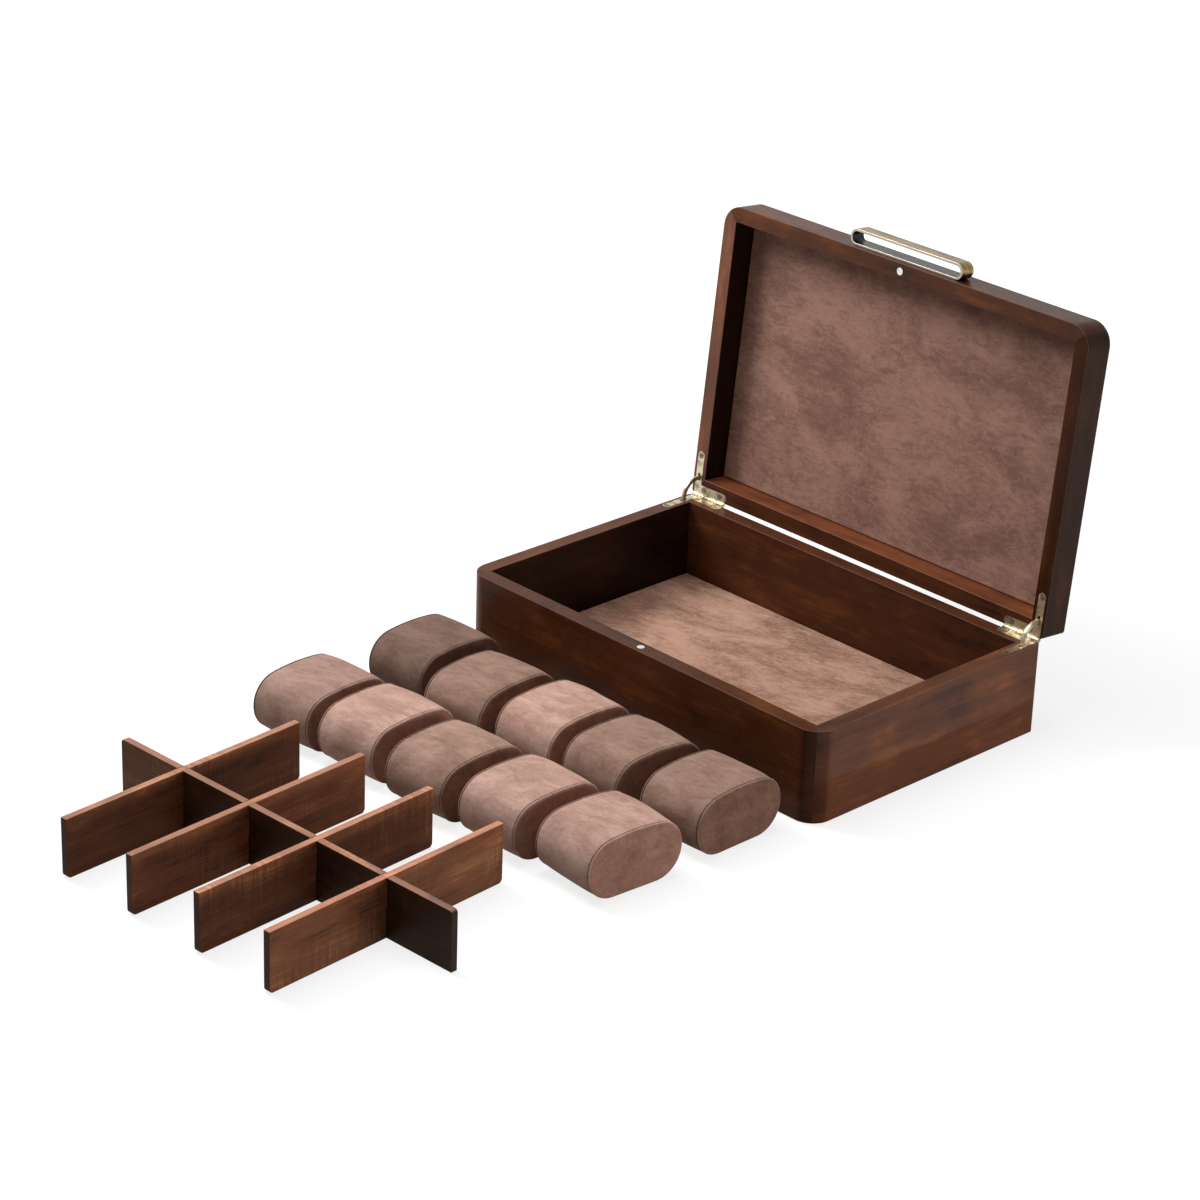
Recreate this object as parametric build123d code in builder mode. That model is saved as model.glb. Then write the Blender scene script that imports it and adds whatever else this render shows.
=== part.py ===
from build123d import *
from math import asin, cos, degrees, radians, sin
import os

# A wooden watch box with its lid open, and the divider grid and ten watch pillows laid out in front of it.
# Millimetres. X runs along the long front, from left to right, and -Y is the front with the handle.
# Z points up, and the origin is the middle of the box's underside.

# The box and its lid

box_length = 320.0
box_depth = 208.0
base_height = 63.5
lid_height = 23.0
board_thickness = 11.0
front_corner_radius = 15.0
back_corner_radius = 2.0
rim_round = 0.5
inner_rim_round = 0.5
foot_round = 0.8
lid_top_round = 1.6
rim_gap = 1.0
pin_overhang = 1.2
open_angle = 95.8

# Panels and linings

panel_rebate = 5.0
panel_fit = 0.1
bottom_thickness = 6.0
top_thickness = 3.0
floor_pad_thickness = 4.0
lining_pad_thickness = 2.0
pad_fit = 0.3
pad_edge_round = 1.2

# Magnets that keep the lid shut

magnet_radius = 2.5
magnet_length = 4.0
magnet_fit = 0.05

# Handle: one loop of flat band, held by two screws from inside the lid

handle_length = 98.0
handle_rise = 11.5
handle_width = 11.5
handle_band = 1.8
handle_edge_round = 0.35
handle_above_rim = 3.5
handle_screw_spacing = 64.0
handle_screw_radius = 1.5
handle_head_radius = 2.75
handle_head_height = 1.8
handle_head_sink = 0.3
handle_screw_bite = 1.3

# Quadrant hinges

leaf_thickness = 1.8
leaf_width = 5.9
leaf_side_inset = 2.3
leaf_back_inset = 0.5
leaf_side_reach = 30.0
leaf_back_reach = 30.7
leaf_corner_round = 0.8
web_overlap = 0.5
leaf_fit = 0.2
knuckle_count = 5
knuckle_length = 5.7
knuckle_gap = 0.35
barrel_side_inset = 2.1
barrel_radius = 1.6
barrel_fit = 0.15
pin_radius = 0.8
pin_fit = 0.04
pin_proud = 0.2
screw_head_radius = 2.25
screw_shank_radius = 1.1
screw_length = 8.0
screw_tip_length = 1.5
screw_fit = 0.05
screw_slot_width = 0.6
screw_slot_depth = 0.6
near_screw_from_corner = 9.1
far_screw_from_corner = 24.5

# The curved stay that runs through both leaves and stops the lid

stay_inner_radius = 11.0
stay_outer_radius = 14.0
stay_hook_radius = 8.8
stay_hook_angle = 5.5
stay_thickness = 1.5
stay_fit = 0.15
slot_width = 2.0
slot_near_radius = 10.1
slot_far_radius = 15.9
mortise_fit = 0.4
mortise_end_fit = 1.5

# Divider grid, which stands on the table in front of the box

divider_thickness = 5.0
divider_height = 39.5
cross_length = 185.5
long_length = 292.0
cross_pitch = 60.0
cross_count = 4
lap_fit = 0.4
lap_depth_fit = 0.2
cross_foot_round = 3.0
long_top_round = 2.5
divider_edge_round = 0.4
grid_centre = (1.2, -390.7)
grid_turn = 2.5
cross_skew = 1.2

# Watch pillows: a suede cover sewn from a tube and two end panels, over a foam core

pillow_length = 53.0
pillow_width = 74.0
pillow_height = 41.4
pillow_low_radius = 19.5
pillow_high_radius = 19.0
pillow_crown_slope = 8.0
pillow_end_draw = 0.9
cap_length = 2.2
cap_round = 1.7
seam_width = 0.5
seam_depth = 0.5
cover_thickness = 1.0
core_fit = 0.1

# Each pillow's middle on the table, and how far it is turned: first the row next to the box

back_row = [
    (-136.9, -151.8, 1.5),
    (-71.7, -161.4, 3.8),
    (-9.4, -155.3, 0.1),
    (54.1, -156.0, -2.7),
    (120.3, -153.7, 0.2),
]
front_row = [
    (-136.7, -248.1, 3.2),
    (-76.9, -244.3, 2.2),
    (-10.6, -245.4, 2.3),
    (54.0, -242.1, -0.2),
    (119.6, -238.2, -4.2),
]

# Places that follow from the sizes

inside_length = box_length - 2 * board_thickness
inside_depth = box_depth - 2 * board_thickness
pin_y = box_depth / 2 + pin_overhang
pin_z = base_height + rim_gap / 2
leaf_side = box_length / 2 - leaf_side_inset
leaf_back = box_depth / 2 - leaf_back_inset
web_front = leaf_back - web_overlap
arm_x = leaf_side - leaf_width / 2
arm_y = leaf_back - leaf_width / 2
side_end_y = leaf_back - leaf_side_reach + leaf_width / 2
back_end_x = leaf_side - leaf_back_reach + leaf_width / 2
barrel_length = knuckle_count * knuckle_length + (knuckle_count - 1) * knuckle_gap
barrel_start = box_length / 2 - barrel_side_inset - barrel_length
magnet_y = -(box_depth - board_thickness) / 2
handle_screw_z = base_height + rim_gap + handle_above_rim + handle_width / 2
hook_start = degrees(asin((rim_gap / 2 + leaf_thickness + stay_fit) / stay_hook_radius))
stay_half_angle = open_angle / 2 + hook_start + stay_hook_angle

# For each half of the box: which way its wood lies from the rim, how high it is, and its panel

halves = {
    "base": (-1, base_height, bottom_thickness, foot_round),
    "lid": (1, lid_height, top_thickness, lid_top_round),
}
sides = {"left": -1, "right": 1}
lid_knuckles = range(0, knuckle_count, 2)
base_knuckles = range(1, knuckle_count, 2)

pin_place = Location((0, pin_y, pin_z))
lid_swing = pin_place * Location((0, 0, 0), (-open_angle, 0, 0)) * pin_place.inverse()

os.makedirs("parts", exist_ok=True)


def save(piece, name):
    """Name a finished piece and write it."""
    piece.part.label = name
    export_step(piece.part, f"parts/{name}.step")


def placed(half, plane):
    """A plane given for the shut box. The lid's planes turn with the lid to its open place."""
    return Plane(lid_swing * plane.location) if half == "lid" else plane


def rim_level(half):
    """Height of the rim of one half in the shut box."""
    return pin_z + halves[half][0] * rim_gap / 2


def rim_plane(half):
    return placed(half, Plane.XY.offset(rim_level(half)))


def screw_spots(side):
    """Middle of the three screws of one leaf: two on the back arm, one at the end of the side arm."""
    near = leaf_side - near_screw_from_corner
    far = leaf_side - far_screw_from_corner
    return [(side * near, arm_y), (side * far, arm_y), (side * arm_x, side_end_y)]


def screw_places(half, side):
    """Where the screws of one leaf stand: on the rim, each with its Z out of the wood."""
    out = (0, 0, -halves[half][0])
    spots = [(x, y, rim_level(half)) for x, y in screw_spots(side)]
    return [placed(half, Plane(origin=spot, x_dir=(1, 0, 0), z_dir=out)).location for spot in spots]


def leaf_outline(outline, side, fit):
    """The L of a leaf, or of the recess that takes it with a fit all round, drawn in the open sketch."""
    width = leaf_width + 2 * fit
    with Locations((side * arm_x, (leaf_back + side_end_y + fit) / 2)):
        Rectangle(width, leaf_back - side_end_y + fit)
    with Locations((side * (leaf_side + back_end_x + fit) / 2, arm_y)):
        Rectangle(leaf_side - back_end_x + fit, width)
    with Locations((side * arm_x, side_end_y), (side * back_end_x, arm_y)):
        Circle(width / 2)
    inner_corner = (side * (leaf_side - leaf_width), leaf_back - leaf_width)
    fillet(outline.vertices().sort_by_distance(inner_corner)[0], leaf_corner_round - fit)


def ring_sector(inner, outer, start, end):
    """Part of a flat ring round the pin, in the open sketch, which lies in a YZ plane.
    Angles are in degrees above the level line that runs from the pin to the front."""
    reach = 2 * outer
    angles = [start, (start + end) / 2, end]
    with Locations((pin_y, pin_z)):
        Circle(outer)
        Circle(inner, mode=Mode.SUBTRACT)
        far = [(-reach * cos(radians(a)), reach * sin(radians(a))) for a in angles]
        Polygon((0, 0), *far, align=None, mode=Mode.INTERSECT)


def frame_blank(half):
    """The four boards of one half as one ring, with everything that is cut into them."""
    sign, height, panel_thickness, far_round = halves[half]
    rim = rim_plane(half)
    rim_axis = Axis(rim.origin, rim.z_dir * -sign)
    with BuildPart() as blank:
        with BuildSketch(rim) as outline:
            Rectangle(box_length, box_depth)
            fillet(outline.vertices().group_by(Axis.Y)[0], front_corner_radius)
            fillet(outline.vertices().group_by(Axis.Y)[-1], back_corner_radius)
            Rectangle(inside_length, inside_depth, mode=Mode.SUBTRACT)
        extrude(amount=sign * height)
        fillet(blank.faces().sort_by(rim_axis)[-1].outer_wire().edges(), rim_round)
        fillet(blank.faces().sort_by(rim_axis)[0].outer_wire().edges(), far_round)

        # rebate for the panel that closes this half
        with BuildSketch(rim.offset(sign * height)):
            Rectangle(inside_length + 2 * panel_rebate, inside_depth + 2 * panel_rebate)
        extrude(amount=-sign * panel_thickness, mode=Mode.SUBTRACT)

        # blind hole for the magnet
        with BuildSketch(rim):
            with Locations((0, magnet_y)):
                Circle(magnet_radius + magnet_fit)
        extrude(amount=sign * (magnet_length + magnet_fit), mode=Mode.SUBTRACT)

        for side in sides.values():
            with BuildSketch(rim) as recess:
                leaf_outline(recess, side, leaf_fit)
            extrude(amount=sign * leaf_thickness, mode=Mode.SUBTRACT)

            with BuildSketch(rim):
                with Locations(*screw_spots(side)):
                    Circle(screw_shank_radius + screw_fit)
            extrude(amount=sign * (screw_length + screw_fit), mode=Mode.SUBTRACT)

            # groove that the barrel turns in
            groove_radius = barrel_radius + barrel_fit
            groove_front = web_front - leaf_fit
            with BuildSketch(placed(half, Plane.YZ.offset(side * (barrel_start - barrel_fit)))):
                with Locations((pin_y, pin_z)):
                    Circle(groove_radius)
                with Locations(((groove_front + pin_y) / 2, pin_z + sign * groove_radius / 2)):
                    Rectangle(pin_y - groove_front, groove_radius)
            extrude(amount=side * (barrel_length + 2 * barrel_fit), mode=Mode.SUBTRACT)

            # curved mortise for the stay
            mortise_end = sign * (stay_half_angle + mortise_end_fit)
            mortise_start = -sign * hook_start
            inner = stay_hook_radius - mortise_fit
            outer = stay_outer_radius + mortise_fit
            mortise_width = stay_thickness + 2 * mortise_fit
            with BuildSketch(placed(half, Plane.YZ.offset(side * arm_x))):
                ring_sector(inner, outer, mortise_start, mortise_end)
            extrude(amount=mortise_width / 2, both=True, mode=Mode.SUBTRACT)

        if half == "lid":
            # stepped holes for the handle's screws
            with BuildSketch(handle_screw_plane()):
                with Locations(*handle_screw_spots()):
                    Circle(handle_head_radius + screw_fit)
            extrude(amount=-(handle_head_height + handle_head_sink), mode=Mode.SUBTRACT)
            with BuildSketch(handle_screw_plane()):
                with Locations(*handle_screw_spots()):
                    Circle(handle_screw_radius + screw_fit)
            extrude(amount=-board_thickness, mode=Mode.SUBTRACT)
    return blank


def handle_screw_plane():
    """The inner face of the lid's front board at the level of the handle's screws."""
    inner_face = (0, -inside_depth / 2, handle_screw_z)
    return placed("lid", Plane(origin=inner_face, x_dir=(1, 0, 0), z_dir=(0, 1, 0)))


def handle_screw_spots():
    return [(-handle_screw_spacing / 2, 0), (handle_screw_spacing / 2, 0)]


def board_outline(board):
    """The share of the frame that one board takes, between the two mitres."""
    x, y = box_length / 2, box_depth / 2
    past = board_thickness / 2
    inward = board_thickness + past
    outer_corners = {
        "front": [(-1, -1), (1, -1)],
        "right": [(1, -1), (1, 1)],
        "back": [(1, 1), (-1, 1)],
        "left": [(-1, 1), (-1, -1)],
    }[board]
    outside = [(sx * (x + past), sy * (y + past)) for sx, sy in outer_corners]
    inside = [(sx * (x - inward), sy * (y - inward)) for sx, sy in reversed(outer_corners)]
    return outside + inside


# The boards of the base and of the lid

for half, (sign, height, panel_thickness, far_round) in halves.items():
    blank = frame_blank(half)
    for board in ("front", "right", "back", "left"):
        with BuildPart() as frame_board:
            add(blank.part)
            with BuildSketch(rim_plane(half)):
                Polygon(*board_outline(board), align=None)
            extrude(amount=sign * height, mode=Mode.INTERSECT)
            inner_edge = frame_board.edges().sort_by_distance(rim_plane(half).origin)[0]
            fillet(inner_edge, inner_rim_round)
        save(frame_board, f"{half}_{board}")

# The panels that close the base and the lid, let into the rebates

for half, name in (("base", "base_bottom_panel"), ("lid", "lid_top_panel")):
    sign, height, panel_thickness, far_round = halves[half]
    with BuildPart() as panel:
        with BuildSketch(rim_plane(half).offset(sign * height)):
            Rectangle(
                inside_length + 2 * (panel_rebate - panel_fit),
                inside_depth + 2 * (panel_rebate - panel_fit),
            )
        extrude(amount=-sign * panel_thickness)
    save(panel, name)

# The suede-covered pads on the floor of the base and inside the lid, with soft front edges

pads = [
    ("base", "base_floor_pad", floor_pad_thickness),
    ("lid", "lid_lining_pad", lining_pad_thickness),
]
for half, name, pad_thickness in pads:
    sign, height, panel_thickness, far_round = halves[half]
    panel_face = rim_plane(half).offset(sign * (height - panel_thickness))
    with BuildPart() as pad:
        with BuildSketch(panel_face):
            Rectangle(inside_length - 2 * pad_fit, inside_depth - 2 * pad_fit)
        extrude(amount=-sign * pad_thickness)
        seen_face = pad.faces().sort_by_distance(rim_plane(half).origin)[0]
        fillet(seen_face.edges(), pad_edge_round)
    save(pad, name)

# The two magnets, flush with the rims

for half, (sign, height, panel_thickness, far_round) in halves.items():
    with BuildPart() as magnet:
        with BuildSketch(rim_plane(half)):
            with Locations((0, magnet_y)):
                Circle(magnet_radius)
        extrude(amount=sign * magnet_length)
    save(magnet, f"{half}_magnet")

# The handle, a flat band bent into one long loop that lies on the lid's front board

handle_foot = placed("lid", Plane.XY.offset(handle_screw_z - handle_width / 2))
handle_y = -(box_depth + handle_rise) / 2

with BuildPart() as handle:
    with BuildSketch(handle_foot):
        with Locations((0, handle_y)):
            SlotOverall(handle_length, handle_rise)
            SlotOverall(handle_length - 2 * handle_band, handle_rise - 2 * handle_band, mode=Mode.SUBTRACT)
    extrude(amount=handle_width)
    across = Axis(handle_foot.origin, handle_foot.z_dir)
    band_edges = handle.faces().sort_by(across)[0].edges() + handle.faces().sort_by(across)[-1].edges()
    fillet(band_edges, handle_edge_round)
    with BuildSketch(handle_screw_plane().offset(-board_thickness)):
        with Locations(*handle_screw_spots()):
            Circle(handle_screw_radius + screw_fit)
    extrude(amount=-(handle_screw_bite + screw_fit), mode=Mode.SUBTRACT)
save(handle, "lid_handle")

with BuildPart(handle_screw_plane().offset(-handle_head_sink)) as handle_screws:
    with Locations(*handle_screw_spots()):
        shank_length = board_thickness - handle_head_sink + handle_screw_bite
        on_top = (Align.CENTER, Align.CENTER, Align.MAX)
        Cylinder(handle_head_radius, handle_head_height, align=on_top)
        Cylinder(handle_screw_radius, shank_length, align=on_top)
        Box(2 * handle_head_radius, screw_slot_width, screw_slot_depth, align=on_top, mode=Mode.SUBTRACT)
save(handle_screws, "lid_handle_screws")


def hinge_leaf(half, side, knuckles):
    """One L-shaped leaf with its share of the knuckles."""
    sign = halves[half][0]
    with BuildPart() as leaf:
        with BuildSketch(rim_plane(half)) as outline:
            leaf_outline(outline, side, 0)
            fillet(outline.vertices().sort_by_distance((side * leaf_side, leaf_back))[0], leaf_corner_round)
        extrude(amount=sign * leaf_thickness)

        # slot for the stay
        with BuildSketch(rim_plane(half)):
            with Locations((side * arm_x, pin_y - (slot_near_radius + slot_far_radius) / 2)):
                SlotOverall(slot_far_radius - slot_near_radius, slot_width, rotation=90)
        extrude(amount=sign * leaf_thickness, mode=Mode.SUBTRACT)

        # knuckles, each joined to the leaf by a narrow web
        for knuckle in knuckles:
            start = barrel_start + knuckle * (knuckle_length + knuckle_gap)
            web_middle = pin_z + sign * (barrel_radius + rim_gap / 2) / 2
            with BuildSketch(placed(half, Plane.YZ.offset(side * start))):
                with Locations((pin_y, pin_z)):
                    Circle(barrel_radius)
                with Locations(((web_front + pin_y) / 2, web_middle)):
                    Rectangle(pin_y - web_front, barrel_radius - rim_gap / 2)
                with Locations((pin_y, pin_z)):
                    Circle(pin_radius + pin_fit, mode=Mode.SUBTRACT)
            extrude(amount=side * knuckle_length)

        with Locations(*screw_places(half, side)):
            CounterSinkHole(screw_shank_radius + screw_fit, screw_head_radius + screw_fit, leaf_thickness)
    return leaf


def hinge_screws(half, side):
    """The three countersunk screws of one leaf."""
    on_top = (Align.CENTER, Align.CENTER, Align.MAX)
    tip_start = Location((0, 0, screw_tip_length - screw_length))
    with BuildPart() as screws:
        with Locations(*screw_places(half, side)):
            Cylinder(screw_shank_radius, screw_length - screw_tip_length, align=on_top)
            Cone(screw_shank_radius, screw_head_radius, screw_head_radius - screw_shank_radius, align=on_top)
            Box(2 * screw_head_radius, screw_slot_width, screw_slot_depth, align=on_top, mode=Mode.SUBTRACT)
        with Locations(*[place * tip_start for place in screw_places(half, side)]):
            Cone(0, screw_shank_radius, screw_tip_length, align=on_top)
    return screws


# The hinges, left and right

for name, side in sides.items():
    save(hinge_leaf("lid", side, lid_knuckles), f"hinge_{name}_lid_leaf")
    save(hinge_leaf("base", side, base_knuckles), f"hinge_{name}_base_leaf")
    save(hinge_screws("lid", side), f"hinge_{name}_lid_screws")
    save(hinge_screws("base", side), f"hinge_{name}_base_screws")

    with BuildPart() as pin:
        with BuildSketch(Plane.YZ.offset(side * (barrel_start - pin_proud))):
            with Locations((pin_y, pin_z)):
                Circle(pin_radius)
        extrude(amount=side * (barrel_length + 2 * pin_proud))
    save(pin, f"hinge_{name}_pin")

    # the stay reaches equally far under both leaves, and a hook at each end catches its leaf
    with BuildPart() as stay:
        stay_plane = Plane.YZ.offset(side * arm_x)
        low_end = open_angle / 2 - stay_half_angle
        high_end = open_angle / 2 + stay_half_angle
        with BuildSketch(stay_plane):
            ring_sector(stay_inner_radius, stay_outer_radius, low_end, high_end)
        extrude(amount=stay_thickness / 2, both=True)
        for end in (low_end, high_end - stay_hook_angle):
            with BuildSketch(stay_plane):
                ring_sector(stay_hook_radius, stay_outer_radius, end, end + stay_hook_angle)
            extrude(amount=stay_thickness / 2, both=True)
    save(stay, f"hinge_{name}_stay")

# The divider grid: each cross divider is notched from below and drops over a notch in the long one

lap_height = divider_height / 2
notch_depth = lap_height + lap_depth_fit
notch_width = divider_thickness + lap_fit
cross_spots = [(number - (cross_count - 1) / 2) * cross_pitch for number in range(cross_count)]
grid_plane = Plane(Location((*grid_centre, 0), (0, 0, grid_turn)))
wall_plane = Plane(grid_plane.location * Location((0, 0, 0), (90, 0, 0)))

with BuildPart() as long_divider:
    with BuildSketch(wall_plane) as outline:
        with Locations((0, divider_height / 2)):
            Rectangle(long_length, divider_height)
        fillet(outline.vertices().group_by(Axis.Y)[-1], long_top_round)
        with Locations(*[(x, divider_height - notch_depth / 2) for x in cross_spots]):
            Rectangle(notch_width, notch_depth, mode=Mode.SUBTRACT)
    extrude(amount=divider_thickness / 2, both=True)
    wall_axis = Axis(wall_plane.origin, wall_plane.z_dir)
    wall_faces = long_divider.faces().sort_by(wall_axis)
    fillet(wall_faces[0].edges() + wall_faces[-1].edges(), divider_edge_round)
save(long_divider, "long_divider")

for number, x in enumerate(cross_spots, start=1):
    cross_place = grid_plane.location * Location((x, 0, 0), (0, 0, 90 + cross_skew))
    cross_plane = Plane(cross_place * Location((0, 0, 0), (90, 0, 0)))
    with BuildPart() as cross_divider:
        with BuildSketch(cross_plane) as outline:
            with Locations((0, divider_height / 2)):
                Rectangle(cross_length, divider_height)
            fillet(outline.vertices().group_by(Axis.Y)[0], cross_foot_round)
            with Locations((0, notch_depth / 2)):
                Rectangle(notch_width, notch_depth, mode=Mode.SUBTRACT)
        extrude(amount=divider_thickness / 2, both=True)
        wall_axis = Axis(cross_plane.origin, cross_plane.z_dir)
        wall_faces = cross_divider.faces().sort_by(wall_axis)
        fillet(wall_faces[0].edges() + wall_faces[-1].edges(), divider_edge_round)
    save(cross_divider, f"cross_divider_{number}")


def pillow_section(draw, inset):
    """Outline of a pillow across its length: a flat foot, full sides and a crowned top.
    Its sides and top are drawn in by draw, and the whole outline by inset."""
    slope = radians(pillow_crown_slope)
    half_width = pillow_width / 2 - draw - inset
    top = pillow_height - draw - inset
    low_radius = pillow_low_radius - inset
    high_radius = pillow_high_radius - inset
    crown_half = half_width - high_radius * (1 - sin(slope))
    crown_end = top - crown_half * (1 - cos(slope)) / sin(slope)
    with BuildSketch() as section:
        with BuildLine():
            foot = Line((0, inset), (half_width - low_radius, inset))
            low = JernArc(foot @ 1, foot % 1, low_radius, 90)
            flank = Line(low @ 1, (half_width, crown_end - high_radius * cos(slope)))
            high = JernArc(flank @ 1, flank % 1, high_radius, 90 - pillow_crown_slope)
            TangentArc(high @ 1, (0, top), tangent=high % 1)
            mirror(about=Plane.YZ)
        make_face()
    return section.sketch


def pillow_plane(spot, along):
    """A plane across the pillow that stands at spot, at a distance along from its middle."""
    x, y, turn = spot
    return Plane(Location((x, y, 0), (0, 0, turn)) * Plane.YZ.offset(along).location)


def pillow_block(spot, reach, inset):
    """A plain crowned block as long as twice reach, full in the middle and drawn in at its ends."""
    with BuildPart() as block:
        for along, draw in ((-reach, pillow_end_draw), (0, 0), (reach, pillow_end_draw)):
            with BuildSketch(pillow_plane(spot, along)):
                add(pillow_section(draw, inset))
        loft()
    return block.part


# The pillows: the cover's tube, a sewn groove at each end, and two rounded end panels

tube_reach = pillow_length / 2 - cap_length - seam_width

for number, spot in enumerate(back_row + front_row, start=1):
    with BuildPart() as cover:
        add(pillow_block(spot, tube_reach, 0))
        for end in (-1, 1):
            with BuildSketch(pillow_plane(spot, end * tube_reach)):
                add(pillow_section(pillow_end_draw, seam_depth))
            extrude(amount=end * seam_width)
            with BuildSketch(pillow_plane(spot, end * (tube_reach + seam_width))):
                add(pillow_section(pillow_end_draw, 0))
            extrude(amount=end * cap_length)
            outward = Axis(pillow_plane(spot, 0).origin, pillow_plane(spot, 0).z_dir * end)
            fillet(cover.faces().sort_by(outward)[-1].edges(), cap_round)
        add(pillow_block(spot, pillow_length / 2 - cover_thickness, cover_thickness), mode=Mode.SUBTRACT)
    save(cover, f"pillow_{number}_cover")

    with BuildPart() as core:
        core_inset = cover_thickness + core_fit
        add(pillow_block(spot, pillow_length / 2 - core_inset, core_inset))
    save(core, f"pillow_{number}_core")
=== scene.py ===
# %% [markdown]
# # A wooden watch box and its ten pillows
#
# The hard parts of this box were drawn as solids first. Here they get their finish: stained walnut, brass
# and nickel. The soft parts are made anew: two suede linings and ten stuffed pillows. Every length in this
# file is in metres, and X runs along the box's front, from left to right.

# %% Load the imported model
import math

import bpy
import numpy as np
from mathutils import Matrix, Vector, noise


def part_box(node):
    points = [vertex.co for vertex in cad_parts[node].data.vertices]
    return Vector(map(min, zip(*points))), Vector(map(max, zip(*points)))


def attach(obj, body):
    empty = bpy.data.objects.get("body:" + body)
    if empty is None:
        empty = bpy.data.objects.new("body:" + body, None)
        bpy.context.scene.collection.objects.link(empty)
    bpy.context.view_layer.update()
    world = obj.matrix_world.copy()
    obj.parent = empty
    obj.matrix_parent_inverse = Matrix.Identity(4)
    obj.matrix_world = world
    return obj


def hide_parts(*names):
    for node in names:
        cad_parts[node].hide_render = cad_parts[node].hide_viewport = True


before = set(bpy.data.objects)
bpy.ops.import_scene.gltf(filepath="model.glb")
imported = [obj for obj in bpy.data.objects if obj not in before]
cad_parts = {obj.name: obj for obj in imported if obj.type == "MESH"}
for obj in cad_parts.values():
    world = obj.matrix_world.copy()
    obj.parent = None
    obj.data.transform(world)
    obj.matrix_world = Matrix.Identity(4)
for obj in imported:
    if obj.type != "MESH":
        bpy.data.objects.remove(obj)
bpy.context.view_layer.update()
mm = 0.001

# %% [markdown]
# ## Where the lid is
#
# The box stands open. The lid's grain and its lining are far easier to lay out on a shut box, so one matrix
# turns shut places into open ones: a turn about the line of the two hinge pins.

# %% The lid's turn
pin_line = Vector((0, 105.2 * mm, 64 * mm))
open_angle = math.radians(95.8)
to_pin = Matrix.Translation(pin_line)
open_lid = to_pin @ Matrix.Rotation(-open_angle, 4, "X") @ to_pin.inverted()
shut_lid = open_lid.inverted()


def shut_box(node):
    """Lowest and highest corner of a lid's piece as it lies on the shut box."""
    places = [shut_lid @ vertex.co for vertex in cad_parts[node].data.vertices]
    return (
        Vector([min(place[axis] for place in places) for axis in range(3)]),
        Vector([max(place[axis] for place in places) for axis in range(3)]),
    )


lining_low, lining_high = shut_box("lid_lining_pad")
for corner in (lining_low, lining_high):
    print("corner of the lining, shut, in mm:", [round(v / mm, 1) for v in corner])

# %% [markdown]
# ## Colours and shader nodes
#
# A colour picked off a screen is stored with a curve, and a shader wants plain light, so `srgb` undoes the
# curve. A procedural finish is a small graph of nodes. `add_node` makes one, and wires or fills its inputs
# in one call, so that each finish below reads as a recipe.

# %% Helpers for finishes


def srgb(red, green, blue):
    """A screen colour, 0 to 255, as a shader's colour."""
    shares = [value / 255 for value in (red, green, blue)]
    return (*[v / 12.92 if v <= 0.04045 else ((v + 0.055) / 1.055) ** 2.4 for v in shares], 1)


def add_node(tree, kind, inputs=(), **settings):
    """A shader node. An input is given a value, or the socket that feeds it."""
    node = tree.nodes.new("ShaderNode" + kind)
    for name, value in settings.items():
        setattr(node, name, value)
    for socket, value in dict(inputs).items():
        if isinstance(value, bpy.types.NodeSocket):
            tree.links.new(value, node.inputs[socket])
        else:
            node.inputs[socket].default_value = value
    return node


def start_finish(name, **constants):
    """A material with its shader's plain numbers set. Returns it, its tree and the shader."""
    material = bpy.data.materials.new(name)
    material.use_nodes = True
    shader = material.node_tree.nodes["Principled BSDF"]
    for socket, value in constants.items():
        shader.inputs[socket.replace("_", " ")].default_value = value
    return material, material.node_tree, shader


def laid(tree, source, size, turn=(0, 0, 0), place=(0, 0, 0)):
    """Coordinates in which one unit is the given size, along axes turned and moved with the board."""
    scale = size if hasattr(size, "__len__") else (size, size, size)
    mapping = add_node(tree, "Mapping", {"Vector": source}, vector_type="TEXTURE")
    mapping.inputs["Location"].default_value = place
    mapping.inputs["Rotation"].default_value = turn
    mapping.inputs["Scale"].default_value = scale
    return mapping.outputs["Vector"]


def cloudy(tree, place, detail=3, roughness=0.5, distortion=0.0):
    """Soft random patches, about one unit across, from 0 to 1."""
    inputs = {"Vector": place, "Scale": 1, "Detail": detail, "Roughness": roughness, "Distortion": distortion}
    return add_node(tree, "TexNoise", inputs).outputs["Fac"]


def spread(tree, value, low, high, to_low=0.0, to_high=1.0):
    """Stretches the range from low to high over another one, and holds it there."""
    inputs = {"Value": value, "From Min": low, "From Max": high, "To Min": to_low, "To Max": to_high}
    return add_node(tree, "MapRange", inputs, interpolation_type="SMOOTHSTEP").outputs["Result"]


def sums(tree, kind, first, second):
    """One sum of two numbers, such as ADD, MULTIPLY or MAXIMUM."""
    return add_node(tree, "Math", {0: first, 1: second}, operation=kind).outputs[0]


def blended(tree, share, first, second, kind="MIX"):
    """Two colours mixed by a share."""
    node = add_node(tree, "Mix", {0: share, 6: first, 7: second}, data_type="RGBA", blend_type=kind)
    return node.outputs[2]


def facing_share(tree, normal, direction, low, high):
    """How far a face looks in a direction, from 0 to 1."""
    dot = add_node(tree, "VectorMath", {0: normal, 1: tuple(direction)}, operation="DOT_PRODUCT")
    return spread(tree, dot.outputs["Value"], low, high)


def raised(tree, height, depth, strength=1.0):
    """A bump whose full height is depth."""
    inputs = {"Height": height, "Distance": depth, "Strength": strength}
    return add_node(tree, "Bump", inputs).outputs["Normal"]


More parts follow.
